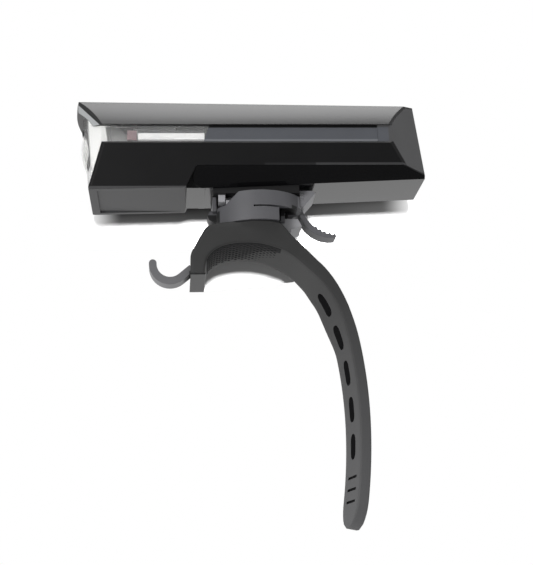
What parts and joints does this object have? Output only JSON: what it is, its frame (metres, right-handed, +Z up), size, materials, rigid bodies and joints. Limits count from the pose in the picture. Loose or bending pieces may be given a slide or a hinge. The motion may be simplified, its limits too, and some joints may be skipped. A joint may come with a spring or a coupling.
{
  "type": "bicycle front light",
  "caption": "Rechargeable front bike light with side windows, on a swivelling quick-release bracket with a slotted rubber strap and hook for a 31.8 mm handlebar.",
  "frame": {"origin": "middle of the handlebar that the saddle sits on", "axes": "+X along the handlebar, to the side of the strap's near edge in the picture; -Y the way the beam goes; +Z up, out of the bar towards the light"},
  "size_m": [0.0324, 0.1098, 0.1333],
  "materials": {
    "top_shell": "satin black",
    "housing": "fine textured black",
    "cover": "polished black",
    "rear_cap": "fine textured black",
    "lens": "clear polycarbonate",
    "strips": "satin blue-grey",
    "reflector": "white satin",
    "led_board": "white solder mask on metal core",
    "emitter": "phosphor",
    "heat_sink": "extruded",
    "cell": "shrink sleeve",
    "cradle": "moulded",
    "circuit_board": "solder mask",
    "spacers": "turned",
    "switch": "plain",
    "button": "matte",
    "status_led": "plain",
    "indicator": "frosted",
    "light_guide": "milky white",
    "side_led": "red tint",
    "socket": "plated",
    "flap": "matte",
    "screws": "plain",
    "shoe": "fine textured grey",
    "receiver": "semi-matte grey",
    "lever": "fine textured grey",
    "spring": "wire",
    "saddle": "matte",
    "strap": "matte",
    "pad": "woven texture",
    "hook": "hard, satin",
    "base_plate": "fine textured grey"
  },
  "bodies": {
    "bracket_base": {"saddle": "saddle", "strap": "strap", "grip_pad": "pad", "strap_hook": "hook", "base_plate": "base_plate", "pivot_screw": "screws", "pivot_washer": "screws", "pivot_nut": "screws"},
    "turntable": {"receiver": "receiver", "lever_pin": "screws", "lever_spring": "spring"},
    "light": {"top_shell": "top_shell", "main_housing": "housing", "lower_cover": "cover", "rear_cap": "rear_cap", "lens": "lens", "side_strips": "strips", "reflector": "reflector", "led_board": "led_board", "led_emitter": "emitter", "heat_sink": "heat_sink", "battery_cell": "cell", "cell_cradle": "cradle", "main_board": "circuit_board", "board_spacers": "spacers", "tact_switch": "switch", "status_led": "status_led", "indicator_lens": "indicator", "side_light_guides": "light_guide", "side_leds": "side_led", "port_board": "circuit_board", "usb_socket": "socket", "flap_pin": "screws", "cap_screws": "screws", "shoe": "shoe", "shoe_screws": "screws"},
    "lever": {"release_lever": "lever"},
    "button": {"power_button": "button"},
    "port_flap": {"port_cover": "flap"}
  },
  "joints": [
    {"name": "swivel", "type": "hinge", "parent": "bracket_base", "child": "turntable", "pos_m": [0, 0.0024, 0.0222], "axis": [0, 0, 1], "range_deg": [-8, 8]},
    {"name": "light_slide", "type": "slide", "parent": "turntable", "child": "light", "axis": [0, -1, 0], "range_m": [0, 0.026]},
    {"name": "lever_press", "type": "hinge", "parent": "turntable", "child": "lever", "pos_m": [0, 0.0099, 0.0264], "axis": [1, 0, 0], "range_deg": [-10, 0], "stiffness_Nm_per_rad": 0.1, "springref_deg": 11.46},
    {"name": "button_press", "type": "slide", "parent": "light", "child": "button", "axis": [0, 0, -1], "range_m": [0, 0.0006], "stiffness_N_per_m": 1500, "springref_m": -0.0004},
    {"name": "port_flap_swing", "type": "hinge", "parent": "light", "child": "port_flap", "pos_m": [0, 0.05361, 0.0429], "axis": [-1, 0, 0], "range_deg": [0, 95]}
  ]
}
